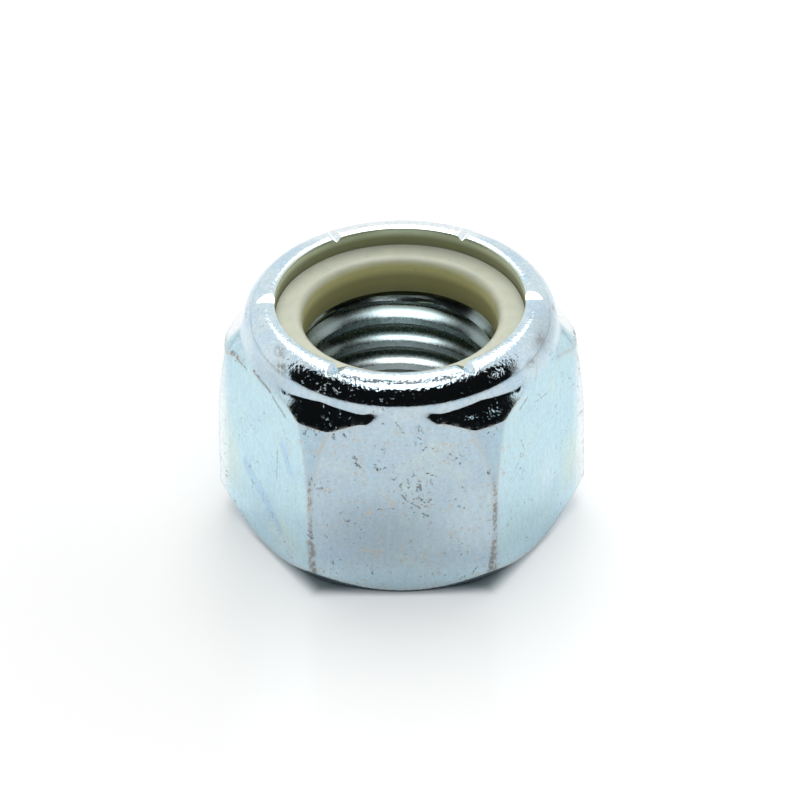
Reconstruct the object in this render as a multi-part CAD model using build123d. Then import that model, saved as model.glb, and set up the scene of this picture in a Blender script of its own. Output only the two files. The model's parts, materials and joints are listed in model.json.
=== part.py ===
from build123d import *
import os
from math import cos, radians, sin, tan

# Nylon insert lock nut for a 3/4-10 bolt. A cold-formed steel hexagon carries a collar, which leans in
# and is crimped over a nylon ring. The ring's bore is smaller than the bolt, so it grips the thread.
# Millimetres. The bearing face lies on Z = 0 and the bolt's axis is Z; two corners point along X.
# The sizes run outwards from the bolt to the flats, which come out 28.575 mm (1 1/8 in) apart.

# Thread, drawn as its plain minor bore, with a countersink at each end
thread_diameter = 19.05      # 3/4 in bolt
thread_depth = 1.225         # radial height of the internal thread
mouth_clearance = 0.4        # each countersink's mouth, outside the bolt's thread

# Nylon ring
ring_grip = 0.795            # radial bite of the ring on the bolt
ring_width = 3.6575          # from the ring's bore out to its rim
ring_thickness = 3.5
ring_clearance = 0.02        # between the ring and the steel round and above it
ring_bore_chamfer = 0.2      # at the top and bottom of the ring's bore

# Collar round the ring, and its crimped rim
collar_wall = 1.795          # thickness of the collar at its foot, beside the ring
collar_height = 2.8          # foot of the collar to the crest of the rim
collar_draft = 13.6          # degrees, how far the crimped collar leans in over the ring
collar_foot_rounding = 0.8   # hollow radius between collar and shoulder
rim_rounding = 2.3           # radius of the rolled rim
lip_overhang = 1.24          # how far the crimped lip reaches in over the ring
lip_depth = 1.8              # crest of the rim down to the top of the ring
lip_edge_chamfer = 0.2       # bevel of the lip's inner edge

# V-shaped nicks that the crimping die leaves across the rim, one at each corner of the hexagon
nick_depth = 0.5             # crest of the rim down to the nick's bottom line
nick_width = 1.1             # across the nick at the height of the crest

# Hexagon
overall_height = 22.35       # bearing face to the crest of the rim, 0.88 in
flat_step = 0.085            # the flats stand this far outside the collar's foot
corner_rounding = 0.45       # radius along the six upright corners
bearing_chamfer = 0.64       # how far the bearing face stops short of the flats
bearing_chamfer_angle = 45   # degrees from the bearing face

# Forged barrel that trims the six corners, and the sloping shoulder above it
barrel_relief = 0.05         # widest barrel radius, inside the sharp corners
barrel_height = 8.0          # bearing face to where the barrel starts to curve in
barrel_draft = 0.8           # how much the barrel narrows on its way up to the shoulder
shoulder_angle = 48.5        # degrees, how steeply the shoulder falls away from the collar
shoulder_rounding = 0.4      # radius where the shoulder turns down into the barrel

bore_radius = thread_diameter / 2 - thread_depth
mouth_radius = thread_diameter / 2 + mouth_clearance
mouth_depth = mouth_radius - bore_radius

ring_bore_radius = thread_diameter / 2 - ring_grip
ring_radius = ring_bore_radius + ring_width
ring_pocket_top = overall_height - lip_depth
ring_top = ring_pocket_top - ring_clearance
ring_seat = ring_pocket_top - ring_thickness

pocket_radius = ring_radius + ring_clearance
collar_radius = pocket_radius + collar_wall
collar_foot = overall_height - collar_height
rim_centre_height = overall_height - rim_rounding
lean = (rim_centre_height - collar_foot) * sin(radians(collar_draft))
rim_centre_radius = collar_radius - (rim_rounding + lean) / cos(radians(collar_draft))
lip_radius = pocket_radius - lip_overhang
lip_height = rim_centre_height + (rim_rounding**2 - (rim_centre_radius - lip_radius)**2) ** 0.5

flat_radius = collar_radius + flat_step
corner_radius = flat_radius / cos(radians(30))
bearing_radius = flat_radius - bearing_chamfer
barrel_radius = corner_radius - barrel_relief
chamfer_top = (barrel_radius - bearing_radius) * tan(radians(bearing_chamfer_angle))
shoulder_radius = barrel_radius - barrel_draft
shoulder_foot = collar_foot - (shoulder_radius - collar_radius) * tan(radians(shoulder_angle))


def turned(profile):
    """Revolve a half section, drawn as radius against height, about the bolt's axis."""
    return revolve(Plane.XZ * profile, Axis.Z)


def corner_at(profile, radius, height):
    """The corner of a half section that stands at one radius and height."""
    return profile.vertices().sort_by_distance((radius, height, 0))[0]


def blank_profile():
    """Half section of the forged blank: chamfer, barrel, shoulder, collar and rolled rim, no bore."""
    bearing = Line((0, 0), (bearing_radius, 0))
    bevel = Line(bearing @ 1, (barrel_radius, chamfer_top))
    upright = Line(bevel @ 1, (barrel_radius, barrel_height))
    barrel = TangentArc(upright @ 1, (shoulder_radius, shoulder_foot), tangent=(0, 1))
    shoulder = Line(barrel @ 1, (collar_radius, collar_foot))
    rim_centre = (rim_centre_radius, rim_centre_height)
    crest = CenterArc(rim_centre, rim_rounding, collar_draft, 90 - collar_draft)
    collar = Line(shoulder @ 1, crest @ 0)
    inner_rim = RadiusArc(crest @ 1, (lip_radius, lip_height), -rim_rounding)
    top = Line(inner_rim @ 1, (0, lip_height))
    axis = Line(top @ 1, (0, 0))
    outside = [bearing, bevel, upright, barrel, shoulder, collar, crest, inner_rim]
    profile = make_face(outside + [top, axis])
    profile = fillet(corner_at(profile, shoulder_radius, shoulder_foot), shoulder_rounding)
    return fillet(corner_at(profile, collar_radius, collar_foot), collar_foot_rounding)


def cavity_profile():
    """Half section of all that is open: bore, both countersinks, the ring's pocket and the lip."""
    above = overall_height + lip_depth
    walls = Polyline(
        (0, 0),
        (mouth_radius, 0),
        (bore_radius, mouth_depth),
        (bore_radius, ring_seat - mouth_depth),
        (mouth_radius, ring_seat),
        (pocket_radius, ring_seat),
        (pocket_radius, ring_pocket_top - lip_overhang),
        (lip_radius, ring_pocket_top),
        (lip_radius, above),
        (0, above),
        (0, 0),
    )
    return make_face(walls)


def hexagon():
    """Upright hexagonal prism with rounded corners, as tall as the nut."""
    outline = RegularPolygon(corner_radius, 6)
    return extrude(fillet(outline.vertices(), corner_rounding), overall_height)


def rim_nicks():
    """Three V-shaped bars laid across the nut, corner to corner, which cut the six nicks.

    The V opens to nick_width at the crest, and as far again above it, clear of the rim.
    """
    bottom = (0, overall_height - nick_depth)
    edges = [(side * nick_width, overall_height + nick_depth) for side in (1, -1)]
    v_shape = make_face(Polyline(bottom, *edges, close=True))
    bar = extrude(Plane.YZ * v_shape, corner_radius, both=True)
    return [Rot(Z=60 * corner) * bar for corner in range(3)]


def nut_body():
    """Steel nut: the bored and crimped section revolved, trimmed to a hexagon, then nicked."""
    section = blank_profile() - cavity_profile()
    section = chamfer(corner_at(section, lip_radius, lip_height), lip_edge_chamfer)
    return (turned(section) & hexagon()) - rim_nicks()


def nylon_ring():
    """Nylon washer on the pocket's floor, its upper outer corner pressed down by the lip."""
    outline = Polyline(
        (ring_bore_radius, ring_seat),
        (ring_radius, ring_seat),
        (ring_radius, ring_top),
        (ring_bore_radius, ring_top),
        close=True,
    )
    section = make_face(outline)
    section = chamfer(corner_at(section, ring_radius, ring_top), lip_overhang)
    section = chamfer(corner_at(section, ring_bore_radius, ring_seat), ring_bore_chamfer)
    section = chamfer(corner_at(section, ring_bore_radius, ring_top), ring_bore_chamfer)
    return turned(section)


os.makedirs("parts", exist_ok=True)
export_step(nut_body(), "parts/nut_body.step")
export_step(nylon_ring(), "parts/nylon_ring.step")
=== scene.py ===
import bpy
import bmesh
import json
import numpy as np
from math import cos, pi, radians, sin, tan
from mathutils import Matrix, Vector

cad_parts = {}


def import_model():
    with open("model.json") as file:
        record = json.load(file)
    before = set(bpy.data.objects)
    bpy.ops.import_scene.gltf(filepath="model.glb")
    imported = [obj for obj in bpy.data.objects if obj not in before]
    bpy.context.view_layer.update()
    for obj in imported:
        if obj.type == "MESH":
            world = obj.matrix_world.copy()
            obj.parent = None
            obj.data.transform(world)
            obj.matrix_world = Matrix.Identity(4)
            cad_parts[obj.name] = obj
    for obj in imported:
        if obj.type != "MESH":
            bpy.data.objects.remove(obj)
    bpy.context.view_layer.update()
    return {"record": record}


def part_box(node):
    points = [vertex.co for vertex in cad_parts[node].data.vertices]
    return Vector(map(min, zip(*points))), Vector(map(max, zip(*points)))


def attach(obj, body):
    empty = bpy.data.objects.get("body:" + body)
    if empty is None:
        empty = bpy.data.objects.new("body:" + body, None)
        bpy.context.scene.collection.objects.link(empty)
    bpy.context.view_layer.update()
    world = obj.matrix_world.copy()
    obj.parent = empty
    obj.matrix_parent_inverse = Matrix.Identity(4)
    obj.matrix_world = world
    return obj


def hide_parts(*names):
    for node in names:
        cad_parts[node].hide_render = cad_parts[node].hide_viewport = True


# Nylon insert lock nut, seen from in front of one flat. Lengths are in millimetres up to the mesh, which
# add_piece scales to metres. Angles round the nut are from +X, where a corner of the hexagon points; the
# front flat faces -Y. Wear is placed on flats that are named by their turn from the front one.
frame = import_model()
MM = 0.001

# -------------------- sizes from the frame
_, nut_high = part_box("nut_body")
ring_low, ring_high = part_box("nylon_ring")
mounts = {mount["name"]: mount for mount in frame["record"]["mounts"]}
FLAT_RADIUS = nut_high.y / MM
HEIGHT = nut_high.z / MM
RING_RADIUS = ring_high.x / MM
RING_SEAT = ring_low.z / MM
RING_TOP = ring_high.z / MM
BORE_RADIUS = mounts["thread"]["dims"]["r_mm"]
RING_BORE_RADIUS = mounts["ring_bore"]["dims"]["r_mm"]
RING_ROOM = 0.02  # between the ring and the steel round it
POCKET_RADIUS = RING_RADIUS + RING_ROOM
LIP_OVERHANG = 1.24
LIP_RADIUS = POCKET_RADIUS - LIP_OVERHANG
SECTOR = pi / 3  # one flat of the hexagon

# Hexagon
CORNER_ROUNDING = 0.451  # a hair over the solid's 0.45, so that the corners stay inside its box
EDGE_BLEND = 0.12  # softness of the line between a flat and the barrel
BEARING_RADIUS = FLAT_RADIUS - 0.64
BEARING_WIDTH = 1.0  # of the outermost band of the bearing face
BEARING_ROUNDING = 0.3  # of the bearing face's edge
CHAMFER_ROUNDING = 0.25  # of the chamfer's upper edge
BARREL_RADIUS = FLAT_RADIUS / cos(SECTOR / 2) - 0.05
BARREL_START = 8.0  # above this height the corners fall in towards the shoulder
BARREL_CURVE = 0.0081
SIDE_ROWS = 44

# Shoulder. Its step is how far the hexagon stands out past the flats: 0 at a flat's middle, most at a corner.
SHOULDER_LOW, SHOULDER_HIGH = 18.9, 19.0  # its two edges in front, where the step is 0
SHOULDER_FALL = 0.9  # of the lower edge, per millimetre of step
FALL_START, FALL_END = 0.42, 1.38  # steps between which it falls
FALL_BLEND = 0.2
SHOULDER_RISE = 0.55  # of the upper edge, with the square root of the step
SHOULDER_TILT = 0.25  # drop of both edges at the sides; none in front, and twice this at the back
FACET_START, FACET_FULL = 0.2, 0.5  # steps over which the sweep turns into the crisp facet
FACET_FOOT_ROUNDING = 0.16
FACET_HEAD_ROUNDING = 0.9
SWEEP_LOW, SWEEP_HIGH = 18.2, 20.0  # heights of the sweep's ends
SWEEP_PULL = 0.8

# Collar, which leans in over the ring, and its crimped rim
COLLAR_DRAFT = radians(13.6)
COLLAR_FOOT = 19.2  # here the collar is flush with the flats
RIM_FOOT = 20.28
SIDE_ROUNDING = 3.1
CREST_ROUNDING = 2.05
RIM_TURN = 45  # degrees above level, where the side's rounding becomes the crest's
LIP_TURN = 103  # degrees above level, where the crest ends at the lip
LIP_DROP = 0.06  # from the end of the crest down to the lip's corner
LIP_ROUNDING = 0.12

# Thread: 3/4-10, right-hand
PITCH = 2.54
THREAD_RADIUS = 9.525
MOUTH_RADIUS = THREAD_RADIUS + 0.4
THREAD_WEAR = 0.16  # how far the real roots fall short of the full thread
ROOT_HALF_WIDTH, CREST_HALF_WIDTH = 0.12, 0.30
FLANK_EASING = 0.4  # 0 is a straight flank
ROOT_HEIGHT_AT_BACK = 12.86  # a root's middle, on the +Y side


# -------------------- outline helpers
RUN_SHARE = 0.48  # of a run, the most that the rounding of one of its ends takes up


def line(start, end, count):
    """count points along a straight run, without its last."""
    t = np.linspace(0, 1, count, endpoint=False)[:, None]
    return np.array(start) * (1 - t) + np.array(end) * t


def between(start, end, count):
    """count points evenly along a straight run, without its two ends."""
    return [start + (end - start) * (i + 1) / (count + 1) for i in range(count)]


def bezier(start, after_start, before_end, end, t):
    """Point at t on the cubic curve with these four control points."""
    return (
        start * (1 - t) ** 3 + after_start * 3 * t * (1 - t) ** 2
        + before_end * 3 * t**2 * (1 - t) + end * t**3
    )


def rounded_corner(before, corner, after, radius, count):
    """Arc that rounds a corner between two straight runs. The points may be whole arrays of columns."""
    before, corner, after = (np.asarray(p, float) for p in (before, corner, after))
    length_a = np.linalg.norm(before - corner, axis=-1, keepdims=True)
    length_b = np.linalg.norm(after - corner, axis=-1, keepdims=True)
    a, b = (before - corner) / length_a, (after - corner) / length_b
    half = np.arccos(np.clip((a * b).sum(-1, keepdims=True), -0.99999, 1)) / 2
    reach = np.minimum(radius / np.tan(half), RUN_SHARE * np.minimum(length_a, length_b))
    radius = reach * np.tan(half)
    inward = (a + b) / np.maximum(np.linalg.norm(a + b, axis=-1, keepdims=True), 1e-9)
    centre = corner + inward * radius / np.sin(half)
    start, end = corner + a * reach - centre, corner + b * reach - centre
    turn = pi - 2 * half
    t = np.linspace(0, 1, count)
    return [centre + (np.sin((1 - s) * turn) * start + np.sin(s * turn) * end) / np.sin(turn) for s in t]


def smooth_min(a, b, blend):
    """The lower of two values, rounded off where they are within the blend of each other."""
    h = np.clip(0.5 + 0.5 * (b - a) / blend, 0, 1)
    return b * (1 - h) + a * h - blend * h * (1 - h)


def smooth_step(low, high, value):
    t = np.clip((value - low) / (high - low), 0, 1)
    return t * t * (3 - 2 * t)


# -------------------- nut body, as rows of (radius, height)
SECTOR_COLUMNS = 80
CORNER_CROWDING = 0.38  # 0 spaces the columns evenly


def column_angles():
    """Angles round the nut, closer together at the six corners."""
    t = np.arange(SECTOR_COLUMNS) / SECTOR_COLUMNS * 2 - 1
    within = (1 - CORNER_CROWDING) * t + CORNER_CROWDING * np.sin(t * pi / 2)
    sector = (within + 1) * SECTOR / 2
    return np.concatenate([sector + turn * SECTOR for turn in range(6)])


def from_corner(angle):
    """Signed angle from the nearest corner of the hexagon."""
    return (angle + SECTOR / 2) % SECTOR - SECTOR / 2


def hexagon_radius(angle):
    """Distance from the axis to the rounded hexagon."""
    turn = from_corner(angle)
    flat = FLAT_RADIUS / np.cos(SECTOR / 2 - np.abs(turn))
    centre = (FLAT_RADIUS - CORNER_ROUNDING) / cos(SECTOR / 2)
    inside = CORNER_ROUNDING**2 - (centre * np.sin(turn)) ** 2
    corner = centre * np.cos(turn) + np.sqrt(np.maximum(inside, 0))
    reach = np.arctan2(CORNER_ROUNDING / 2, centre + CORNER_ROUNDING * cos(SECTOR / 2))
    return np.where(np.abs(turn) < reach, corner, flat)


def barrel_radius(height):
    return BARREL_RADIUS - BARREL_CURVE * np.maximum(height - BARREL_START, 0) ** 2


def side_radius(hexagon, height):
    return smooth_min(hexagon, barrel_radius(height), EDGE_BLEND)


def collar_radius(height):
    return FLAT_RADIUS - tan(COLLAR_DRAFT) * (height - COLLAR_FOOT)


def columns_of(radius, height):
    """One (radius, height) point per column."""
    return np.stack(np.broadcast_arrays(radius, height), axis=-1).astype(float)


def shoulder_line(step, angles):
    """Heights of the shoulder's lower and upper edge, for each column's step and angle."""
    drop = SHOULDER_TILT * (1 + np.sin(angles))
    fall = np.maximum(smooth_min(step, FALL_END, FALL_BLEND) - FALL_START, 0)
    low = SHOULDER_LOW - SHOULDER_FALL * fall - drop
    high = SHOULDER_HIGH + SHOULDER_RISE * np.sqrt(np.maximum(step, 0)) - drop
    return low, high


def facet_share(step):
    """1 where the shoulder is a crisp facet, 0 where it is part of the sweep."""
    return smooth_step(FACET_START, FACET_FULL, step)


def facet_rows(hexagon, angles):
    """Rows over the crisp facet, with its foot and head rounded off."""
    low, high = shoulder_line(hexagon - FLAT_RADIUS, angles)
    below = columns_of(side_radius(hexagon, low - 0.5), low - 0.5)
    foot = columns_of(side_radius(hexagon, low), low)
    head = columns_of(np.minimum(collar_radius(high), foot[:, 0]), high)
    rim_foot = columns_of(collar_radius(RIM_FOOT) + 0 * hexagon, RIM_FOOT)
    foot_edge = rounded_corner(below, foot, head, FACET_FOOT_ROUNDING, 5)
    head_edge = rounded_corner(foot, head, rim_foot, FACET_HEAD_ROUNDING, 9)
    facet = foot_edge + between(foot_edge[-1], head_edge[0], 6) + head_edge
    return facet + between(head_edge[-1], rim_foot, 2)


def shoulder_rows(hexagon, angles):
    """Rows from the top of the flats to just below the foot of the rim.

    Near a corner the shoulder is a crisp 45 degree facet. Towards the middle of a flat it thins out, and
    there the flat flows into the leaning collar in one gentle sweep.
    """
    facet = facet_rows(hexagon, angles)
    start = columns_of(hexagon, SWEEP_LOW)
    end = columns_of(collar_radius(SWEEP_HIGH) + 0 * hexagon, SWEEP_HIGH)
    after_start = start + np.array([0, 1]) * SWEEP_PULL * (COLLAR_FOOT - SWEEP_LOW)
    before_end = end - np.array([-tan(COLLAR_DRAFT), 1]) * SWEEP_PULL * (SWEEP_HIGH - COLLAR_FOOT)
    weight = facet_share(hexagon - FLAT_RADIUS)[:, None]
    rows = []
    for i, crisp in enumerate(facet):
        sweep = bezier(start, after_start, before_end, end, i / (len(facet) - 1))
        rows.append(sweep * (1 - weight) + crisp * weight)
    return rows


def arc(start, low, high, radius, count):
    """count points on an arc from start, which lies low degrees above level, to high degrees."""
    t = np.radians(np.linspace(low, high, count))
    return [start + radius * np.array([cos(a) - cos(t[0]), sin(a) - sin(t[0])]) for a in t]


def rim_section():
    """The rim, from its foot to the lip's rounded corner, and then the lip's inner face down to the ring."""
    rim_foot = np.array([collar_radius(RIM_FOOT), RIM_FOOT])
    side = arc(rim_foot, np.degrees(COLLAR_DRAFT), RIM_TURN, SIDE_ROUNDING, 20)
    crest = arc(side[-1], RIM_TURN, LIP_TURN, CREST_ROUNDING, 34)
    lip_corner = np.array([LIP_RADIUS, crest[-1][1] - LIP_DROP])
    lip_foot = np.array([LIP_RADIUS, RING_TOP - RING_ROOM])
    edge = rounded_corner(crest[-2], lip_corner, lip_foot, LIP_ROUNDING, 5)
    return side + crest[1:-1] + edge, between(edge[-1], lip_foot, 9) + [lip_foot]


# The crimping die leaves a V-shaped nick across the rim at each corner of the hexagon. Each has a depth
# below the crest, and how wide its clockwise and anticlockwise sides are at the crest, seen from above.
NICKS = {
    0: (0.42, 0.40, 0.85),
    60: (0.55, 0.50, 0.50),
    120: (0.55, 0.50, 0.50),
    180: (0.45, 0.85, 0.40),
    240: (0.62, 0.42, 1.15),
    300: (0.62, 1.05, 0.42),
}
CREST_HEIGHT = HEIGHT - 0.01
NICK_FLOOR_SLOPE = 0.07  # the floor rises outwards
NICK_BLUNTNESS = 0.01  # of the V's foot
NICK_BLEND = 0.05  # softness of its edges
NO_NICK = HEIGHT + 1  # a floor out of the rim's reach


def nick_floor(radius, angle):
    """Height of the surface that the nicks cut down to."""
    floor = np.full_like(angle, NO_NICK)
    outward = NICK_FLOOR_SLOPE * (radius - LIP_RADIUS)
    for azimuth, (depth, clockwise, anticlockwise) in NICKS.items():
        turn = (angle - radians(azimuth) + pi) % (2 * pi) - pi
        across = radius * np.sin(turn)
        width = np.where(across < 0, clockwise, anticlockwise)
        rise = depth * np.sqrt((across / width) ** 2 + NICK_BLUNTNESS)
        away = np.cos(turn) < 0
        floor = np.minimum(floor, np.where(away, NO_NICK, CREST_HEIGHT - depth + rise + outward))
    return floor


def foot_rows(hexagon):
    """Rows from the bearing face over its edge to the top of the chamfer."""
    inner = columns_of(BEARING_RADIUS - BEARING_WIDTH, 0 * hexagon)
    outer = columns_of(BEARING_RADIUS, 0 * hexagon)
    chamfer_top = columns_of(hexagon, hexagon - BEARING_RADIUS)
    above = columns_of(hexagon, BARREL_START)
    bearing_edge = rounded_corner(inner, outer, chamfer_top, BEARING_ROUNDING, 5)
    chamfer_edge = rounded_corner(outer, chamfer_top, above, CHAMFER_ROUNDING, 5)
    return [inner] + bearing_edge + between(bearing_edge[-1], chamfer_edge[0], 8) + chamfer_edge


def side_rows(hexagon, low, high):
    """Rows up the sides, between two rows that are there already."""
    rows = []
    for i in range(SIDE_ROWS):
        t = (i + 1) / (SIDE_ROWS + 1)
        height = low[:, 1] * (1 - t) + high[:, 1] * t
        rows.append(columns_of(side_radius(hexagon, height), height))
    return rows


def rim_rows(angles):
    """Rows over the rim with its nicks, and down the lip's inner face."""
    rim, lip_face = rim_section()
    rows = []
    for radius, height in rim:
        rows.append(columns_of(radius, smooth_min(height, nick_floor(radius, angles), NICK_BLEND)))
    lip_edge, lip_foot = rim[-1][1], lip_face[-1][1]
    nicked_edge = rows[-1][:, 1]
    for radius, height in lip_face:
        share = (height - lip_foot) / (lip_edge - lip_foot)
        rows.append(columns_of(radius, lip_foot + (nicked_edge - lip_foot) * share))
    return rows


def outer_rows(angles):
    """Rows of (radius, height) points, one per column, from the bearing face to the floor of the pocket."""
    hexagon = hexagon_radius(angles)
    foot = foot_rows(hexagon)
    shoulder = shoulder_rows(hexagon, angles)
    side = side_rows(hexagon, foot[-1], shoulder[0])
    crimp_foot = columns_of(POCKET_RADIUS, RING_TOP - LIP_OVERHANG + RING_ROOM + 0 * hexagon)
    pocket_floor = columns_of(POCKET_RADIUS, RING_SEAT + 0 * hexagon)
    return foot + side + shoulder + rim_rows(angles) + [crimp_foot, pocket_floor]


def eased(share):
    """Straight from 0 to 1, but eased at both ends."""
    return (1 - FLANK_EASING) * share + FLANK_EASING * smooth_step(0, 1, share)


def thread_profile():
    """One pitch of the thread from a root's middle, as (height, radius) points, worn round."""
    root_radius = THREAD_RADIUS - THREAD_WEAR
    shares = np.array([0.0, 0.10, 0.3, 0.5, 0.7, 0.90, 1.0])
    heights = ROOT_HALF_WIDTH + shares * (PITCH / 2 - ROOT_HALF_WIDTH - CREST_HALF_WIDTH)
    radii = root_radius - (root_radius - BORE_RADIUS) * eased(shares)
    half = np.array([(0.0, root_radius)] + list(zip(heights, radii)) + [(PITCH / 2, BORE_RADIUS)])
    other = np.stack([PITCH - half[::-1, 0], half[::-1, 1]], axis=1)[1:-1]
    return np.vstack([half, other])


THREAD_COLUMNS = 144
TURNS_BELOW = 2  # of sheet, below the first root under the bearing face
TURNS_SPARE = 4  # of sheet in all, beyond those that the bore needs


def thread_sheet(bm):
    """The threaded bore as one helical sheet, opened at both ends by the countersinks."""
    columns = THREAD_COLUMNS
    profile = thread_profile()
    count = len(profile)
    rows = (int(np.ceil(RING_SEAT / PITCH)) + TURNS_SPARE) * count + 1
    height_at = ROOT_HEIGHT_AT_BACK - np.ceil(ROOT_HEIGHT_AT_BACK / PITCH) * PITCH - PITCH / 4
    verts = {}

    def vertex(i, j):
        """Column i, profile row j; a full turn on is one pitch up."""
        i, j = (i - columns, j + count) if i >= columns else (i, j)
        if (i, j) not in verts:
            angle = i / columns * 2 * pi
            climb = PITCH * (j // count - TURNS_BELOW + angle / (2 * pi))
            z = height_at + climb + profile[j % count][0]
            foot_mouth, top_mouth = MOUTH_RADIUS - max(z, 0), MOUTH_RADIUS - max(RING_SEAT - z, 0)
            radius = max(profile[j % count][1], foot_mouth, top_mouth)
            verts[i, j] = bm.verts.new((radius * cos(angle), radius * sin(angle), z))
        return verts[i, j]

    for j in range(rows - 1):
        for i in range(columns):
            bm.faces.new([vertex(i, j), vertex(i, j + 1), vertex(i + 1, j + 1), vertex(i + 1, j)])
    for height, clear_above in ((0.0, False), (RING_SEAT, True)):
        bmesh.ops.bisect_plane(
            bm, geom=bm.verts[:] + bm.edges[:] + bm.faces[:], plane_co=(0, 0, height), plane_no=(0, 0, 1),
            dist=1e-5, clear_outer=clear_above, clear_inner=not clear_above,
        )


BARREL_WEAR_START = 9.0  # height from which the line between flat and barrel wears
ABOVE_SHOULDER_LINE = 0.1  # how far past the shoulder's lower edge that line reaches


def near(distance, full, none):
    """1 up to the full distance from a line, falling to 0 at the none distance."""
    return 1 - smooth_step(full, none, np.abs(distance))


def edge_closeness(hexagon, angles, row):
    """How near each point of a row lies to a line where the plating wears: 1 on the line, 0 away from it."""
    radius, height = row[:, 0], row[:, 1]
    step = hexagon - FLAT_RADIUS
    low, _ = shoulder_line(step, angles)
    shoulder = facet_share(step) * near(height - low, 0.05, 0.28)
    on_barrel = (height > BARREL_WEAR_START) * (height < low + ABOVE_SHOULDER_LINE)
    barrel = near(hexagon - barrel_radius(height), 0.02, 0.07) * on_barrel
    chamfer = near(height - (hexagon - BEARING_RADIUS), 0.05, 0.25)
    return np.maximum(np.maximum(shoulder, barrel), chamfer) * (radius > FLAT_RADIUS - 1)


def add_rows(bm, angles):
    """The rows as a closed band of faces, each vertex with its edge wear; returns the first and last row."""
    hexagon = hexagon_radius(angles)
    wear = bm.verts.layers.float.new("edge_wear")
    grid = []
    for row in outer_rows(angles):
        ring = [bm.verts.new((r * cos(a), r * sin(a), z)) for (r, z), a in zip(row, angles)]
        for vert, value in zip(ring, edge_closeness(hexagon, angles, row)):
            vert[wear] = value
        grid.append(ring)
    for lower, upper in zip(grid, grid[1:]):
        for i in range(len(angles)):
            k = (i + 1) % len(angles)
            bm.faces.new([lower[i], lower[k], upper[k], upper[i]])
    return grid[0], grid[-1]


def finished(bm, name):
    bmesh.ops.recalc_face_normals(bm, faces=bm.faces[:])
    mesh = bpy.data.meshes.new(name)
    bm.to_mesh(mesh)
    bm.free()
    return mesh


def nut_mesh():
    """The nut as one closed mesh: the thread's sheet and the rows, joined at the foot and at the seat."""
    bm = bmesh.new()
    thread_sheet(bm)
    rims = [e for e in bm.edges if e.is_boundary]
    bottom = [e for e in rims if e.verts[0].co.z < RING_SEAT / 2]
    top = [e for e in rims if e.verts[0].co.z > RING_SEAT / 2]
    first, last = add_rows(bm, column_angles())
    for ring, hole in ((first, bottom), (last, top)):
        outer = [bm.edges.get([vert, following]) for vert, following in zip(ring, ring[1:] + ring[:1])]
        bmesh.ops.triangle_fill(bm, use_beauty=True, use_dissolve=False, edges=outer + hole)
    return finished(bm, "nut_body_detail")


# -------------------- nylon ring
RING_COLUMNS = 192
RING_VISIBLE = LIP_RADIUS - 0.06  # the top shows out to here
RING_TILT = 0.16  # rise of the ring's top at its sides; about twice this in front, none behind
RING_EDGE_ROUNDING = 0.75  # of the bore's upper edge
RING_LOWER_EDGE = 0.06  # bevel of the bore's lower edge
EDGE_GAP = 0.1  # between a rounding and the next point of the outline
LIFT_START, LIFT_FULL = 1.5, 0.3  # it begins this far above the seat, and is full this far below the top


def ring_profile():
    """Closed outline of the ring: up over the bore's edge, out, and back along its foot to the bore."""
    bore, outside = RING_BORE_RADIUS, RING_RADIUS
    crimped = RING_RADIUS - LIP_OVERHANG
    side_top = RING_TOP - LIP_OVERHANG
    after_edge = (bore + RING_EDGE_ROUNDING + EDGE_GAP, RING_TOP)
    below_edge = (bore, RING_TOP - RING_EDGE_ROUNDING - EDGE_GAP)
    return np.vstack([
        rounded_corner((bore, 0), (bore, RING_TOP), (outside, RING_TOP), RING_EDGE_ROUNDING, 12),
        line(after_edge, (RING_VISIBLE, RING_TOP), 8),
        line((RING_VISIBLE, RING_TOP), (crimped, RING_TOP), 2),
        line((crimped, RING_TOP), (outside, side_top), 3),
        line((outside, side_top), (outside, RING_SEAT), 3),
        line((outside, RING_SEAT), (bore + RING_LOWER_EDGE, RING_SEAT), 3),
        line((bore + RING_LOWER_EDGE, RING_SEAT), (bore, RING_SEAT + RING_LOWER_EDGE), 2),
        line((bore, RING_SEAT + RING_LOWER_EDGE), below_edge, 14),
    ])


def ring_mesh():
    """The nylon ring: its top bulges up a little in front, where the lip squeezed it most."""
    angles = np.arange(RING_COLUMNS) / RING_COLUMNS * 2 * pi
    bm = bmesh.new()
    grid = []
    for r, z in ring_profile():
        share = smooth_step(RING_SEAT + LIFT_START, RING_TOP - LIFT_FULL, z)
        share *= 1 - smooth_step(RING_VISIBLE, LIP_RADIUS - RING_ROOM, r)
        lift = share * RING_TILT * (1 - r * np.sin(angles) / RING_BORE_RADIUS)
        grid.append([bm.verts.new((r * cos(a), r * sin(a), z + up)) for a, up in zip(angles, lift)])
    for row, next_row in zip(grid, grid[1:] + grid[:1]):
        for i in range(RING_COLUMNS):
            k = (i + 1) % RING_COLUMNS
            bm.faces.new([row[i], next_row[i], next_row[k], row[k]])
    return finished(bm, "nylon_ring_detail")


SHARP_ANGLE = radians(38)


def add_piece(name, mesh, replaced, material):
    mesh.transform(Matrix.Scale(MM, 4))
    mesh.shade_smooth()
    mesh.set_sharp_from_angle(angle=SHARP_ANGLE)
    mesh.materials.append(material)
    piece = bpy.data.objects.new(name, mesh)
    bpy.context.scene.collection.objects.link(piece)
    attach(piece, "root")
    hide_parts(replaced)


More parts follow.
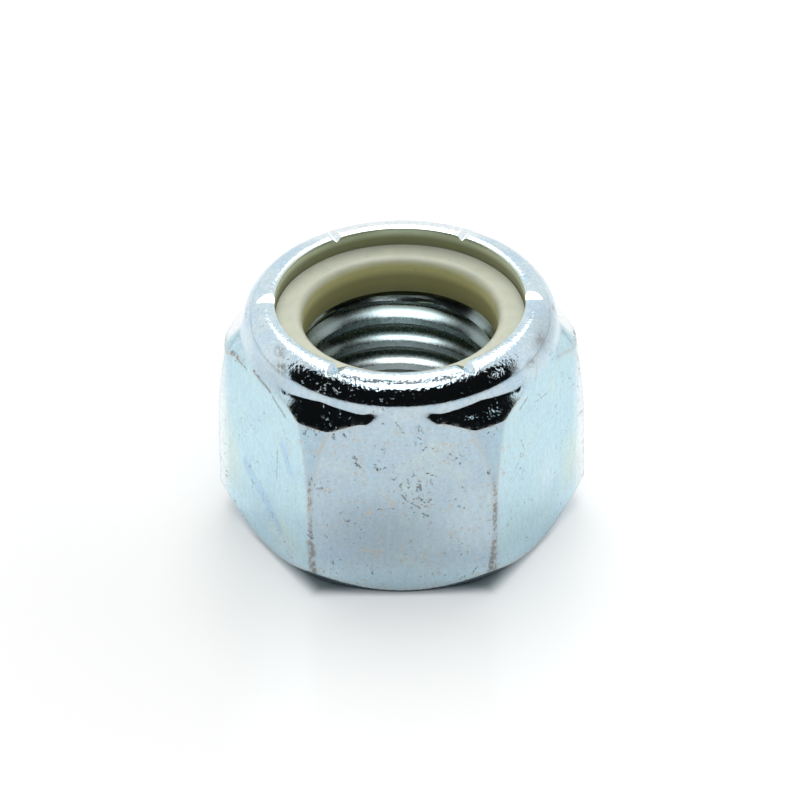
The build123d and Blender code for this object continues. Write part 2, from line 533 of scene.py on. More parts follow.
# -------------------- material graphs
class Graph:
    """Short calls that add nodes to one material or world and return their output sockets."""

    def __init__(self, owner):
        owner.use_nodes = True
        self.nodes = owner.node_tree.nodes
        self.links = owner.node_tree.links

    def feed(self, socket, value):
        """Links a socket to a value's socket, or sets it to a plain value."""
        if isinstance(value, bpy.types.NodeSocket):
            self.links.new(value, socket)
        else:
            socket.default_value = value

    def set(self, node, values):
        """Feeds a node's inputs by their names."""
        for name, value in values.items():
            self.feed(node.inputs[name], value)

    def add(self, kind, inputs=(), **settings):
        """A new node with these settings, its first inputs fed in turn."""
        node = self.nodes.new("ShaderNode" + kind)
        for name, value in settings.items():
            setattr(node, name, value)
        for socket, value in zip(node.inputs, inputs):
            self.feed(socket, value)
        return node

    def math(self, operation, *values):
        return self.add("Math", values, operation=operation).outputs[0]

    def vector(self, operation, *values):
        """Vector operation; DOT_PRODUCT, LENGTH and DISTANCE give a number."""
        node = self.add("VectorMath", values, operation=operation)
        return node.outputs["Value" if operation in ("DOT_PRODUCT", "LENGTH", "DISTANCE") else "Vector"]

    def scaled(self, vector, factor):
        node = self.add("VectorMath", [vector], operation="SCALE")
        self.set(node, {"Scale": factor})
        return node.outputs["Vector"]

    def split(self, vector):
        return self.add("SeparateXYZ", [vector]).outputs[:3]

    def join(self, x, y, z):
        return self.add("CombineXYZ", (x, y, z)).outputs[0]

    def ramp(self, value, low, high, start=0.0, end=1.0):
        """Smooth step from start, at low, to end, at high. Low may be above high."""
        numbers = (value, low, high, start, end)
        return self.add("MapRange", numbers, interpolation_type="SMOOTHSTEP").outputs["Result"]

    def noise(self, vector, scale, detail, roughness, distortion=0.0):
        node = self.add("TexNoise", [vector])
        self.set(node, {"Scale": scale, "Detail": detail, "Roughness": roughness, "Distortion": distortion})
        return node.outputs["Fac"]

    def mix(self, factor, first, second):
        node = self.add("Mix", data_type="RGBA")
        self.set(node, {"Factor": factor, "A": first, "B": second})
        return node.outputs["Result"]

    def folded(self, operation, values):
        """One operation over all the values, in turn."""
        result = values[0]
        for value in values[1:]:
            result = self.math(operation, result, value)
        return result

    def highest(self, *values):
        return self.folded("MAXIMUM", values)

    def product(self, *values):
        return self.folded("MULTIPLY", values)

    def total(self, *values):
        return self.folded("ADD", values)

    def centred(self, noise):
        """The noise moved so that its middle value is 0."""
        return self.math("SUBTRACT", noise, 0.5)

    def layer(self, colour, mask, share, other):
        """The colour with a share of another laid over it where the mask is."""
        return self.mix(self.product(mask, share), colour, other)

    def bump(self, height):
        """Normal of a surface raised by so many millimetres."""
        node = self.add("Bump")
        self.set(node, {"Distance": MM, "Height": height})
        return node.outputs["Normal"]


def new_material(name):
    """A material with its graph, the place on the object in millimetres, and its shader."""
    material = bpy.data.materials.new(name)
    graph = Graph(material)
    place = graph.scaled(graph.add("TexCoord").outputs["Object"], 1 / MM)
    return material, graph, place, graph.nodes["Principled BSDF"]


# Scratches and dents on the flats: along and height of the start, the same of the end, then half width.
# Along is from the flat's middle, to the right as one faces the flat.
FRONT_FLAT, LEFT_FLAT, RIGHT_FLAT = 0, -60, 60
DARK_MARKS = {
    FRONT_FLAT: {
        "dent by the left corner": (-5.98, 17.8, -5.92, 17.4, 0.13),
        "dent beside it": (-5.1, 17.8, -4.7, 17.3, 0.11),
        "nick under the shoulder": (-4.66, 18.24, -4.57, 17.95, 0.06),
        "upper left gouge": (-4.25, 15.35, -4.02, 15.1, 0.15),
        "upper left gouge, lower half": (-4.1, 14.75, -3.7, 14.25, 0.13),
        "gouge to its right": (-2.42, 14.5, -2.15, 13.9, 0.12),
        "long scratch, upper end": (-0.15, 11.2, 0.45, 10.45, 0.09),
        "long scratch, middle": (0.7, 10.35, 1.45, 9.75, 0.1),
        "long scratch, lower end": (1.75, 9.1, 2.35, 8.75, 0.09),
        "blob above it": (1.42, 10.85, 1.65, 10.6, 0.16),
        "dash to its left": (-2.2, 9.6, -0.7, 9.68, 0.055),
        "branch to the right": (1.98, 13.6, 3.03, 13.15, 0.06),
        "branch below": (2.4, 12.8, 2.72, 12.05, 0.06),
        "top scratch": (1.4, 18.7, 2.00, 17.75, 0.055),
        "top scratch, left": (-0.52, 19.00, 0.25, 17.8, 0.045),
        "speck by the right corner": (7.62, 13.6, 7.62, 13.42, 0.16),
        "low right nick": (6.00, 2.35, 6.6, 3.15, 0.07),
        "low left speck": (-2.73, 2.75, -2.73, 2.6, 0.13),
    },
    LEFT_FLAT: {
        "upright scratch": (2.71, 12.7, 2.45, 9.3, 0.05),
        "short dash": (-3.02, 13.35, -2.7, 13.00, 0.06),
    },
    RIGHT_FLAT: {
        "level scratch": (-1.3, 16.7, 1.2, 16.2, 0.04),
        "slanting scratch": (-3.7, 14.1, -2.9, 12.6, 0.04),
    },
}
TAN_MARKS = {
    FRONT_FLAT: {
        "left end of the arch": (-6.45, 17.7, -7.45, 15.6, 0.16),
        "right end of the arch": (6.2, 17.1, 7.3, 15.4, 0.1),
        "low scratch": (1.75, 4.15, 4.1, 3.15, 0.07),
        "upper right scratch": (3.8, 16.1, 6.15, 17.05, 0.07),
        "smear": (-3.75, 5.2, -1.85, 4.9, 0.16),
    },
    LEFT_FLAT: {
        "slanting smear": (3.1, 16.6, 5.2, 13.6, 0.12),
    },
    RIGHT_FLAT: {
        "across the collar": (0.1, 20.9, -0.95, 18.95, 0.1),
    },
}
WORN_MARKS = {
    FRONT_FLAT: {
        "heavy wear at the left corner": (-8.2, 5.8, -8.05, 4.7, 0.34),
        "left corner, foot": (-8.02, 3.9, -7.9, 2.6, 0.22),
        "right corner, foot": (8.15, 5.9, 7.75, 2.7, 0.26),
        "right corner, middle": (8.22, 9.9, 8.2, 8.3, 0.22),
    },
    LEFT_FLAT: {
        "under the shoulder, back": (-5.6, 18.3, -4.9, 18.45, 0.14),
        "under the shoulder": (-4.4, 18.45, -2.7, 18.25, 0.18),
        "under the shoulder, front": (-1.3, 18.85, 1.6, 18.4, 0.2),
        "by the facet": (2.1, 18.1, 4.3, 17.3, 0.14),
    },
    RIGHT_FLAT: {
        "under the shoulder": (-3.8, 17.6, -2.4, 18.00, 0.1),
    },
}
BLUE_MARKS = {
    LEFT_FLAT: {
        "long streak": (-2.3, 8.4, 3.6, 4.7, 0.75),
        "short streak below": (-0.9, 3.4, 0.6, 2.5, 0.5),
        "streak by the corner": (4.6, 14.6, 5.6, 12.4, 0.6),
    },
}


# Soft places on the nut: middle, then size, both as (x, y, height)
RIM_SCUFFS = {
    "left of the highlight": ((-10.6, -7.3, 21.9), (1.0, 1.4, 0.6)),
    "left end of the dark band": ((-10.6, -8.7, 21.1), (1.4, 1.5, 0.8)),
    "right, high": ((12.4, -5.3, 21.4), (1.2, 1.7, 0.8)),
    "right, by the band": ((10.0, -9.3, 21.2), (0.9, 1.0, 0.9)),
    "right, low": ((11.5, -7.9, 20.7), (1.1, 1.3, 0.6)),
    "silhouette spot": ((13.6, -0.1, 21.1), (0.5, 0.7, 0.8)),
}
RIM_GLINTS = {
    "right facet, foot": ((6.2, -13.4, 18.9), (1.1, 0.8, 0.35)),
    "right facet, middle": ((8.3, -12.7, 18.8), (1.5, 1.1, 0.6)),
    "right end of the dark band": ((8.6, -10.6, 21.4), (1.4, 1.2, 0.5)),
}
GREEN_PLACES = {
    "left flat, back": ((-15.6, -2.6, 6.5), (2.0, 3.6, 5.5)),
    "left flat, foot": ((-10.6, -10.2, 3.0), (4.0, 4.0, 3.0)),
    "right flat, back": ((15.4, -2.4, 6.0), (2.0, 3.6, 5.0)),
}
DARKER_PLACES = {
    "front flat, left and low": ((-2.4, -14.3, 7.6), (6.8, 3.0, 4.6)),
}
BRIGHT_PLACES = {
    "front flat, right": ((6.2, -14.3, 8.0), (3.2, 3.0, 5.5)),
    "right flat, middle": ((13.4, -6.4, 7.5), (2.4, 3.0, 4.0)),
}
DULL_RIM = ((12.7, -4.0, 21.2), (2.4, 6.5, 1.8))  # on the right
DULL_COLLAR = ((-11.4, -7.6, 19.5), (3.6, 5.5, 1.9))  # on the left
PITTED_MIDDLE = ((0.6, -14.3, 12.6), (4.4, 2.0, 3.6))  # of the front flat
UNPITTED_FACET = ((-7.6, -12.6, 18.8), (3.8, 2.6, 1.5))  # the left of the two in front


def flat_place(graph, place, turn):
    """(along, height, 0) on the flat turned by so many degrees from the front, and a mask of that flat."""
    angle = radians(turn)
    along = graph.vector("DOT_PRODUCT", place, (cos(angle), sin(angle), 0))
    out = graph.vector("DOT_PRODUCT", place, (sin(angle), -cos(angle), 0))
    _, _, height = graph.split(place)
    return graph.join(along, height, 0.0), graph.ramp(out, FLAT_RADIUS - 0.9, FLAT_RADIUS - 0.6)


STROKE_EDGE = (1.4, 0.4)  # in half widths, from where a stroke begins to where it is full


def scratch(graph, spot, start_along, start_height, end_along, end_height, half_width):
    """1 on a short stroke from start to end, 0 away from it."""
    start = Vector((start_along, start_height, 0))
    run = Vector((end_along, end_height, 0)) - start
    from_start = graph.vector("SUBTRACT", spot, tuple(start))
    along = graph.vector("DOT_PRODUCT", from_start, tuple(run))
    share = graph.math("MULTIPLY", along, 1 / run.length_squared)
    share.node.use_clamp = True
    nearest = graph.scaled(tuple(run), share)
    away = graph.vector("DISTANCE", from_start, nearest)
    return graph.ramp(away, half_width * STROKE_EDGE[0], half_width * STROKE_EDGE[1])


def marks_mask(graph, place, marks, wander):
    """All strokes of one kind, their edges made uneven by the wander added to each place."""
    mask = 0.0
    for turn, strokes in marks.items():
        spot, on_flat = flat_place(graph, place, turn)
        spot = graph.vector("ADD", spot, wander)
        on_this = 0.0
        for stroke in strokes.values():
            on_this = graph.highest(on_this, scratch(graph, spot, *stroke))
        mask = graph.highest(mask, graph.product(on_this, on_flat))
    return mask


def patch(graph, place, centre, size):
    """Soft round patch: full near its centre, 0 from one size away."""
    away = graph.vector("LENGTH", graph.vector("DIVIDE", graph.vector("SUBTRACT", place, centre), size))
    return graph.ramp(away, 1.0, 0.2)


def patches(graph, place, places):
    mask = 0.0
    for centre, size in places.values():
        mask = graph.highest(mask, patch(graph, place, centre, size))
    return mask


# Plating colours; some are painted light and shade, as marked
FRONT_TINT = (0.52, 0.655, 0.735, 1)
SIDE_TINT = (0.545, 0.765, 0.84, 1)
GREEN_TINT = (0.66, 0.78, 0.72, 1)
BLUE_TINT = (0.40, 0.61, 0.80, 1)
DARKER_TINT = (0.30, 0.38, 0.44, 1)
BRIGHT_TINT = (0.68, 0.82, 0.88, 1)
# painted light: lifts the flats' foot, where they mirror the floor's shade
FOOT_PAINTED_LIGHT = (0.66, 0.89, 1.0, 1)
CORNER_TINT = (0.43, 0.575, 0.68, 1)
RIM_TINT = (0.66, 0.79, 0.85, 1)
BLUE_RIM_TINT = (0.58, 0.74, 0.85, 1)
DULL_RIM_TINT = (0.42, 0.52, 0.58, 1)
# painted light: the first lightens the back of the rim and the lower thread, the second whitens the back
# collar and the side corners
PAINTED_HIGHLIGHT_TINT = (0.88, 0.94, 0.96, 1)
PAINTED_GLARE_WHITE = (0.96, 0.98, 0.985, 1)
BORE_TINT = (0.48, 0.61, 0.63, 1)
# painted shade for the thread's sides and roots
THREAD_SHADE_TINT = (0.20, 0.25, 0.235, 1)
TAN = (0.60, 0.565, 0.50, 1)
BARE_STEEL = (0.27, 0.25, 0.215, 1)
GRIME = (0.075, 0.068, 0.055, 1)
# painted reflection and shade on the lip's inner face: the nylon's olive, lit at the top and shaded at the
# foot
LIP_LIT_EDGE = (0.76, 0.81, 0.66, 1)
LIP_FOOT_SHADE = (0.30, 0.31, 0.20, 1)


class Nut:
    """Masks and noises that the plating's colour, gloss and bump share. Lengths are in millimetres."""

    def __init__(self, graph, place):
        self.x, self.y, self.height = graph.split(place)
        self.radius = graph.vector("LENGTH", graph.join(self.x, self.y, 0.0))
        azimuth = graph.math("ARCTAN2", self.y, self.x)
        turn = graph.math("WRAP", azimuth, SECTOR / 2, -SECTOR / 2)
        self.from_corner = graph.math("ABSOLUTE", graph.product(graph.math("SINE", turn), self.radius))
        self.grain = graph.noise(place, 6.0, 3.0, 0.65)
        self.flecks = graph.noise(place, 2.8, 4.0, 0.7)
        self.rim = graph.ramp(self.height, 20.6, 21.3)
        high_up = graph.ramp(self.height, 21.15, 21.75, 0.12, 1.0)
        self.crest = graph.product(high_up, graph.ramp(self.y, -4.0, -9.0, 0.3, 1.0))
        self.inside = graph.ramp(self.radius, 11.0, 10.0)
        self.on_sides = graph.ramp(self.radius, 13.6, 14.0)


def flats_colour(graph, place, nut):
    """Cooler and darker in front, partly the plating's own tint and partly painted shade for the front flat's
    darker reflection; more cyan on the other flats, with blue and green clouds.
    """
    clouds = graph.noise(place, 0.22, 4.0, 0.6, 0.5)
    in_front = graph.ramp(nut.y, -13.4, -14.2)
    # partly painted shade: the front flat's tint is darker for its darker reflection
    tint = graph.mix(in_front, SIDE_TINT, FRONT_TINT)
    tint = graph.mix(graph.ramp(clouds, 0.52, 0.75, 0.0, 0.5), tint, GREEN_TINT)
    tint = graph.mix(graph.ramp(clouds, 0.48, 0.28, 0.0, 0.35), tint, BLUE_TINT)
    tint = graph.layer(tint, patches(graph, place, GREEN_PLACES), 0.7, GREEN_TINT)
    swirl = graph.scaled(graph.join(clouds, clouds, 0.0), 1.5)
    tint = graph.layer(tint, marks_mask(graph, place, BLUE_MARKS, swirl), 0.6, BLUE_TINT)

    # the front flat is darkest low on its left and brighter on its right; all are lighter and bluer at the
    # foot, a painted light that lifts the floor's shade that they mirror there
    tint = graph.layer(tint, patches(graph, place, DARKER_PLACES), 0.42, DARKER_TINT)
    tint = graph.layer(tint, patches(graph, place, BRIGHT_PLACES), 0.45, BRIGHT_TINT)
    foot = graph.product(graph.ramp(nut.height, 4.6, 1.8), nut.on_sides)
    return graph.layer(tint, foot, 0.75, FOOT_PAINTED_LIGHT)


def ground_corner(graph, nut):
    """Mask of the ground-down corner above the upright edge, which widens as the barrel falls in."""
    above = graph.math("SUBTRACT", nut.height, BARREL_START)
    widening = BARREL_CURVE / tan(SECTOR / 2)
    half_width = graph.math("MULTIPLY_ADD", graph.product(above, above), widening, 0.09)
    inside = graph.ramp(graph.math("SUBTRACT", nut.from_corner, half_width), 0.06, -0.08)
    low_end, high_end = graph.ramp(nut.height, 11.5, 13.0), graph.ramp(nut.height, 18.6, 17.9)
    return graph.product(inside, low_end, high_end, graph.ramp(nut.y, -2.0, -5.0, 0.15, 1.0))


def rim_colour(graph, place, nut, tint):
    """The collar's and the rim's tints, laid over the flats' own, with painted highlights: near white on the
    back of the rim, and on the collar and shoulder at the back and at the side corners.
    """
    clouds = graph.noise(place, 0.45, 3.0, 0.6)
    rim_tint = graph.mix(graph.ramp(clouds, 0.42, 0.62), RIM_TINT, BLUE_RIM_TINT)
    tint = graph.mix(graph.ramp(nut.height, 18.4, 20.2), tint, rim_tint)
    tint = graph.layer(tint, patch(graph, place, *DULL_RIM), 0.7, DULL_RIM_TINT)
    tint = graph.layer(tint, patch(graph, place, *DULL_COLLAR), 0.5, DULL_RIM_TINT)
    # painted highlight on the back of the rim, painted glare on the back collar and shoulder and at the side
    # corners
    back = graph.product(nut.rim, graph.ramp(nut.y, 8.5, 10.5), 0.9)
    back_collar_glare = graph.product(
        graph.ramp(nut.height, 21.2, 20.2), graph.ramp(nut.y, -0.6, 0.6),
        graph.ramp(nut.height, 17.0, 18.6, 0.0, 0.95),
    )
    side_corner_glare = graph.ramp(graph.math("ABSOLUTE", nut.x), 15.2, 16.2, 0.0, 0.8)
    tint = graph.mix(back, tint, PAINTED_HIGHLIGHT_TINT)
    return graph.mix(graph.highest(back_collar_glare, side_corner_glare), tint, PAINTED_GLARE_WHITE)


def bore_colour(graph, nut):
    """The thread's tint, with painted light and shade: a painted lift low down, painted shade at the sides
    and in its roots.
    """
    bore = graph.mix(graph.ramp(nut.height, 13.0, 9.0, 0.0, 0.45), BORE_TINT, PAINTED_HIGHLIGHT_TINT)
    bore = graph.mix(graph.ramp(graph.math("ABSOLUTE", nut.x), 3.2, 6.2, 0.0, 0.55), bore, THREAD_SHADE_TINT)
    return graph.mix(graph.ramp(nut.radius, 8.75, 9.15), bore, THREAD_SHADE_TINT)


def plating_colour(graph, place, nut):
    tint = flats_colour(graph, place, nut)
    tint = graph.layer(tint, ground_corner(graph, nut), 0.65, CORNER_TINT)
    tint = rim_colour(graph, place, nut, tint)
    return graph.mix(nut.inside, tint, bore_colour(graph, nut))


FLECK_EDGE = (0.42, 0.54)  # where wear breaks up into flecks


def worn_lines(graph, nut, ragged, streaks):
    """Masks of the upright corners' wear and of the other edges' wear."""
    low_end, high_end = graph.ramp(nut.height, 1.0, 2.0), graph.ramp(nut.height, 13.6, 12.2)
    on_corner = graph.product(low_end, high_end, nut.on_sides)
    from_edge = graph.math("ADD", nut.from_corner, graph.centred(ragged))
    corner_line = graph.product(
        graph.ramp(from_edge, 0.30, 0.12), on_corner, graph.ramp(streaks, 0.36, 0.54, 0.2, 1.0),
        graph.ramp(nut.flecks, *FLECK_EDGE, 0.2, 1.0),
    )
    edges = graph.add("Attribute", attribute_name="edge_wear").outputs["Fac"]
    return corner_line, graph.product(edges, graph.ramp(nut.flecks, 0.44, 0.54), nut.on_sides)


def pitting(graph, place, nut):
    """Mask of the small dark pits, denser in the front flat's middle and at the corners' upper ends."""
    pit_noise = graph.noise(place, 2.3, 4.0, 0.8)
    region = graph.noise(place, 0.35, 2.0, 0.5)
    middle = patch(graph, place, *PITTED_MIDDLE)
    corner = graph.product(
        graph.ramp(nut.from_corner, 1.3, 0.8), graph.ramp(nut.height, 16.2, 17.6),
        graph.ramp(nut.height, 18.3, 17.9),
    )
    level = graph.total(
        pit_noise, graph.ramp(region, 0.45, 0.7, -0.05, 0.03),
        graph.product(middle, 0.05), graph.product(corner, 0.09),
    )
    outside = graph.product(graph.ramp(nut.radius, 11.2, 11.5), graph.ramp(nut.y, 3.0, 0.0, 0.6, 1.0))
    return graph.product(graph.ramp(level, 0.615, 0.66), outside)


def tan_specks(graph, place, nut):
    """Mask of tan specks, which are fewer away from the front flat and on the shoulder."""
    specks = graph.ramp(graph.noise(place, 1.5, 4.0, 0.75), 0.57, 0.64, 0.0, 0.75)
    return graph.product(
        specks, nut.on_sides, graph.ramp(nut.y, -10.0, -13.0, 0.35, 1.0),
        graph.ramp(nut.height, 18.6, 17.9, 0.3, 1.0),
    )


SCUFF_RADIUS = 12.57


def scuffed_ring(graph, nut):
    """Mask of the ring that the crimping die scuffed round the rim's top, in front only."""
    away = graph.math("ABSOLUTE", graph.math("SUBTRACT", nut.radius, SCUFF_RADIUS))
    return graph.product(graph.ramp(away, 0.32, 0.12), nut.rim, graph.ramp(nut.y, -10.0, -12.2))


class Wear:
    """Masks of the three kinds of wear on the plating, and of the scuffed ring round the rim."""

    def __init__(self, graph, place, nut, streaks):
        ragged = graph.noise(place, 4.0, 3.0, 0.75)
        wander = graph.math("MULTIPLY", graph.centred(ragged), 0.5)
        wander = graph.join(wander, wander, 0.0)
        dark_marks, tan_marks, worn_marks = (
            graph.product(marks_mask(graph, place, marks, wander), graph.ramp(noise, low, high))
            for marks, noise, low, high in (
                (DARK_MARKS, nut.grain, 0.40, 0.56),
                (TAN_MARKS, nut.flecks, *FLECK_EDGE),
                (WORN_MARKS, nut.flecks, 0.36, 0.50),
            )
        )
        corner_line, edge_line = worn_lines(graph, nut, ragged, streaks)
        pits = pitting(graph, place, nut)
        specks = tan_specks(graph, place, nut)
        scuffs = graph.product(patches(graph, place, RIM_SCUFFS), graph.ramp(nut.flecks, *FLECK_EDGE))
        self.tan = graph.highest(graph.product(tan_marks, 0.85), specks, graph.product(edge_line, 0.75))
        self.bare = graph.highest(
            graph.product(corner_line, 0.8), graph.product(scuffs, 0.62), graph.product(worn_marks, 0.85)
        )
        self.ring = scuffed_ring(graph, nut)
        ring_specks = graph.product(self.ring, graph.ramp(nut.flecks, 0.45, 0.56))
        quiet = graph.product(patch(graph, place, *UNPITTED_FACET), 0.85)
        self.pits = graph.product(pits, graph.math("SUBTRACT", 1.0, quiet))
        self.dark = graph.highest(
            graph.product(dark_marks, 0.85), graph.product(self.pits, 0.62), graph.product(ring_specks, 0.9)
        )


def lip_colour(graph, nut, colour):
    """The lip's sheared inner face is dull, and painted olive as a reflection of the nylon: lit at its top
    edge, in painted shade at its foot; gives back its mask too.
    """
    low_end, inner_end = graph.ramp(nut.height, RING_TOP - 0.4, RING_TOP), graph.ramp(nut.radius, 10.6, 10.9)
    face = graph.product(graph.ramp(nut.radius, LIP_RADIUS + 0.10, LIP_RADIUS + 0.03), low_end, inner_end)
    face_light_and_shade = graph.mix(graph.ramp(nut.height, 21.2, 22.0), LIP_FOOT_SHADE, LIP_LIT_EDGE)
    return graph.mix(face, colour, face_light_and_shade), face


def plating_roughness(graph, nut, dull):
    """Glossy, a little less so in its flecks, duller in the bore and where worn."""
    rough = graph.ramp(nut.flecks, 0.3, 0.75, 0.05, 0.10)
    bore = graph.product(nut.inside, graph.ramp(nut.height, 15.4, 16.2, 0.19, 0.10))
    return graph.total(rough, graph.product(dull, 0.30), bore)


def plating_relief(graph, place, nut, wear):
    """Height in millimetres of swells, flecks, grain, hammered places and pits."""
    glints = patches(graph, place, RIM_GLINTS)
    hammered = graph.total(
        graph.product(nut.crest, 0.042), graph.product(wear.ring, 0.22), graph.product(glints, 0.13)
    )
    return graph.total(
        graph.product(graph.noise(place, 0.55, 2.0, 0.5), 0.010),
        graph.product(nut.flecks, 0.004),
        graph.product(nut.grain, 0.0015),
        graph.product(graph.centred(graph.noise(place, 3.4, 1.5, 0.5)), hammered),
        graph.product(wear.pits, -0.02),
    )


def zinc_material():
    """Bright zinc plating with faint rainbow tints, a fine grain, scratches, and brown wear on its edges."""
    material, graph, place, shader = new_material("zinc_plating")
    nut = Nut(graph, place)
    colour = plating_colour(graph, place, nut)
    streaks = graph.noise(graph.vector("MULTIPLY", place, (1.0, 1.0, 0.2)), 2.4, 3.0, 0.6)
    mottle = graph.ramp(nut.flecks, 0.3, 0.7, 0.92, 1.06)
    colour = graph.scaled(colour, graph.total(mottle, graph.ramp(streaks, 0.3, 0.7, -0.03, 0.03)))
    wear = Wear(graph, place, nut, streaks)
    for mask, shade in ((wear.tan, TAN), (wear.bare, BARE_STEEL), (wear.dark, GRIME)):
        colour = graph.mix(mask, colour, shade)
    colour, lip_face = lip_colour(graph, nut, colour)
    dull = graph.highest(wear.bare, wear.dark, wear.tan, lip_face)
    graph.set(shader, {
        "Base Color": colour,
        "Metallic": 1.0,
        "Roughness": plating_roughness(graph, nut, dull),
        "Normal": graph.bump(plating_relief(graph, place, nut, wear)),
    })
    return material


# Nylon colours: the top's two, then down the bore from its upper edge: a painted lit edge, then painted
# shade, darker and more olive towards the seat
NYLON_TOP = (0.485, 0.51, 0.405, 1)
NYLON_TOP_PALE = (0.535, 0.555, 0.445, 1)
NYLON_LIT_EDGE = (0.92, 0.89, 0.46, 1)
NYLON_BORE_SHADE = (0.50, 0.48, 0.22, 1)
NYLON_FOOT_SHADE = (0.36, 0.35, 0.16, 1)
NYLON_DIRT = (0.26, 0.24, 0.15, 1)
EDGE_START, EDGE_FULL, BORE_FULL = RING_TOP - 0.1, RING_TOP - 0.9, RING_TOP - 2.0


def nylon_material():
    """Natural nylon: a little translucent, dull, with a faint mottle and dirt; a painted light at its bore's
    upper edge, and painted shade, more olive, down its bore.
    """
    material, graph, place, shader = new_material("natural_nylon")
    _, _, height = graph.split(place)
    mottle = graph.noise(place, 0.9, 4.0, 0.6)
    fine = graph.noise(place, 6.0, 3.0, 0.6)
    specks = graph.noise(place, 2.6, 2.0, 0.7)
    colour = graph.mix(graph.ramp(mottle, 0.3, 0.7), NYLON_TOP, NYLON_TOP_PALE)
    # painted light at the bore's upper edge, then painted shade down the bore
    colour = graph.mix(graph.ramp(height, EDGE_START, EDGE_FULL), colour, NYLON_LIT_EDGE)
    colour = graph.mix(graph.ramp(height, EDGE_FULL, BORE_FULL), colour, NYLON_BORE_SHADE)
    colour = graph.mix(graph.ramp(height, BORE_FULL, RING_SEAT), colour, NYLON_FOOT_SHADE)
    colour = graph.mix(graph.ramp(specks, 0.70, 0.76, 0.0, 0.5), colour, NYLON_DIRT)
    graph.set(shader, {
        "Base Color": colour,
        "Roughness": graph.ramp(fine, 0.3, 0.7, 0.34, 0.46),
        "IOR": 1.53,
        "Subsurface Weight": 0.35,
        "Subsurface Radius": (1.0, 0.95, 0.5),
        "Subsurface Scale": MM,
        "Normal": graph.bump(graph.total(graph.product(mottle, 0.02), graph.product(fine, 0.003))),
    })
    return material


# -------------------- studio
# A light tent: pale walls, a strip light in the ceiling from front to back, and a dark side where the
# camera stands, which the plating mirrors. Directions are unit vectors, so Z is the sine of the elevation.
WALL_LIGHT = 0.95
CEILING_LIGHT = 0.6
CEILING_EDGE = 0.80, 0.90
DARK_LEFT = 0.006  # share of the walls' light that the dark side still gives
DARK_SIDE_EDGE = 0.155, 0.185
DARK_SIDE_LEAN = 0.35  # how far this edge leans back as it rises
DARK_SIDE_SKEW = 0.01  # how much further back it is on the right
DARK_SIDE_TOP = 0.862, 0.838
STRIP_HEIGHT = 0.5  # metres above the floor
STRIP_HALF_WIDTH = 0.38  # tangent of the angle from upright
STRIP_FRONT, STRIP_BACK = -0.58, 1.12  # the same, of its two ends
STRIP_RADIANCE = 2.4

FLOOR_SIZE = 2.0  # metres, from the nut to each edge
FLOOR_NEAR = (0.88, 0.885, 0.89, 1)
FLOOR_FAR = (1.0, 1.0, 1.0, 1)  # makes up for the strip light, which lights only the middle
NEAR_TO_FAR = 150.0, 600.0
FLOOR_SEEN = (0.66, 0.65, 0.63, 1)  # with the glow, what the camera sees: white, with a soft pale shadow
FLOOR_GLOW = (0.34, 0.362, 0.38, 1)
UNDER_NUT = FLAT_RADIUS - 1.7, FLAT_RADIUS + 0.25  # over this edge of the hexagon the glow sets in
BEHIND_FRONT = -9.0, -4.0  # from here back it is on under the nut too
LEFT_PAINTED_SHADOW = 0.26  # share of it missing on the left, where the photo's floor is a little darker: a painted shadow on the floor
LEFT_SHADOW_EDGE, LEFT_SHADOW_END = (-8.0, -17.0), (-75.0, -30.0)


def floor_glow(graph, place):
    """Share of the glow: none under the nut's front, whose foot meets a dark line, and less on the left, a
    painted shadow on the floor.
    """
    x, y, _ = graph.split(place)
    across = []
    for angle in (0, SECTOR, -SECTOR):
        out = graph.vector("DOT_PRODUCT", place, (sin(angle), cos(angle), 0))
        across.append(graph.math("ABSOLUTE", out))
    clear_of_nut = graph.ramp(graph.highest(*across), *UNDER_NUT)
    clear_of_nut = graph.highest(clear_of_nut, graph.ramp(y, *BEHIND_FRONT))
    # painted shadow: less glow on the floor's left
    left = graph.product(graph.ramp(x, *LEFT_SHADOW_EDGE), graph.ramp(x, *LEFT_SHADOW_END))
    return graph.math("SUBTRACT", clear_of_nut, graph.product(left, LEFT_PAINTED_SHADOW))


def floor():
    size = FLOOR_SIZE
    mesh = bpy.data.meshes.new("floor")
    corners = [(-size, -size, 0), (size, -size, 0), (size, size, 0), (-size, size, 0)]
    mesh.from_pydata(corners, [], [(0, 1, 2, 3)])
    piece = bpy.data.objects.new("floor", mesh)
    bpy.context.scene.collection.objects.link(piece)
    material, graph, place, shader = new_material("white_floor")
    seen = graph.add("LightPath").outputs["Is Camera Ray"]
    far = graph.ramp(graph.vector("LENGTH", place), *NEAR_TO_FAR)
    lit = graph.mix(far, FLOOR_NEAR, FLOOR_FAR)
    graph.set(shader, {
        "Base Color": graph.mix(seen, lit, FLOOR_SEEN),
        "Emission Color": FLOOR_GLOW,
        "Emission Strength": graph.product(seen, floor_glow(graph, place)),
        "Roughness": graph.ramp(seen, 0.0, 1.0, 0.6, 0.16),
        "Specular IOR Level": 0.3,
    })
    mesh.materials.append(material)


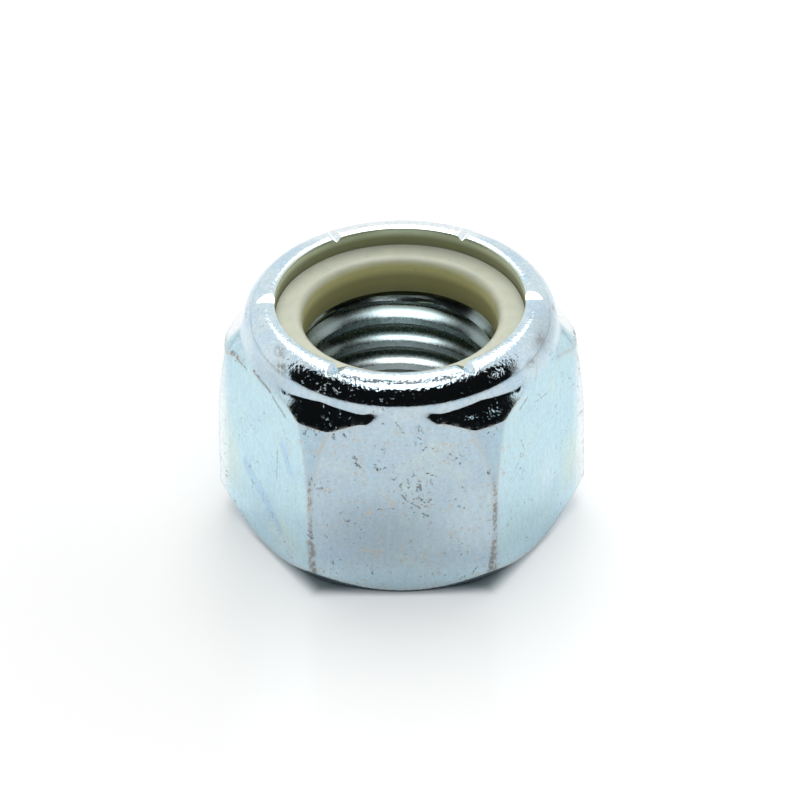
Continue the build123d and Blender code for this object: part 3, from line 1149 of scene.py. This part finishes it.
def world():
    """The tent's walls, ceiling and dark side. The camera itself sees plain white."""
    sky = bpy.data.worlds.new("studio")
    bpy.context.scene.world = sky
    graph = Graph(sky)
    x, y, z = graph.split(graph.add("TexCoord").outputs["Generated"])
    frontness = graph.math("SUBTRACT", graph.product(z, DARK_SIDE_LEAN), y)
    frontness = graph.math("ADD", frontness, graph.product(x, DARK_SIDE_SKEW))
    dark = graph.product(graph.ramp(frontness, *DARK_SIDE_EDGE), graph.ramp(z, *DARK_SIDE_TOP))
    level = graph.ramp(z, *CEILING_EDGE, WALL_LIGHT, CEILING_LIGHT)
    level = graph.product(level, graph.math("SUBTRACT", 1.0, graph.product(dark, 1 - DARK_LEFT)))
    seen = graph.add("LightPath").outputs["Is Camera Ray"]
    strength = graph.math("ADD", seen, graph.product(level, graph.math("SUBTRACT", 1.0, seen)))
    graph.set(graph.nodes["Background"], {"Color": (1, 1, 1, 1), "Strength": strength})


def strip_light():
    width = 2 * STRIP_HALF_WIDTH * STRIP_HEIGHT
    length = (STRIP_BACK - STRIP_FRONT) * STRIP_HEIGHT
    data = bpy.data.lights.new("strip_light", "AREA")
    data.shape = "RECTANGLE"
    data.size, data.size_y = width, length
    data.energy = STRIP_RADIANCE * pi * width * length
    lamp = bpy.data.objects.new("strip_light", data)
    lamp.location = (0, 0.5 * (STRIP_FRONT + STRIP_BACK) * STRIP_HEIGHT, STRIP_HEIGHT)
    lamp.visible_camera = False
    bpy.context.scene.collection.objects.link(lamp)


# -------------------- camera
CAMERA_ELEVATION = radians(35.55)
CAMERA_ROLL = radians(-0.67)
CAMERA_DISTANCE = 740.1 * MM
CAMERA_LENS = 368.07
SENSOR_WIDTH = 36
AIM_RIGHT, AIM_UP = -0.2136 * MM, 9.157 * MM  # of the picture's middle from the nut's foot


def camera():
    forward = Vector((0, cos(CAMERA_ELEVATION), -sin(CAMERA_ELEVATION)))
    level_up = Vector((0, sin(CAMERA_ELEVATION), cos(CAMERA_ELEVATION)))
    level_right = Vector((1, 0, 0))
    right = level_right * cos(CAMERA_ROLL) + level_up * sin(CAMERA_ROLL)
    up = level_up * cos(CAMERA_ROLL) - level_right * sin(CAMERA_ROLL)
    data = bpy.data.cameras.new("camera")
    data.lens = CAMERA_LENS
    data.sensor_width = SENSOR_WIDTH
    data.clip_start = 0.01
    eye = bpy.data.objects.new("camera", data)
    place = right * AIM_RIGHT + up * AIM_UP - forward * CAMERA_DISTANCE
    basis = Matrix((right, up, -forward)).transposed()
    eye.matrix_world = Matrix.Translation(place) @ basis.to_4x4()
    bpy.context.scene.collection.objects.link(eye)
    bpy.context.scene.camera = eye


add_piece("nut_body_detail", nut_mesh(), "nut_body", zinc_material())
add_piece("nylon_ring_detail", ring_mesh(), "nylon_ring", nylon_material())
floor()
world()
strip_light()
camera()
bpy.context.scene.view_settings.view_transform = "Standard"
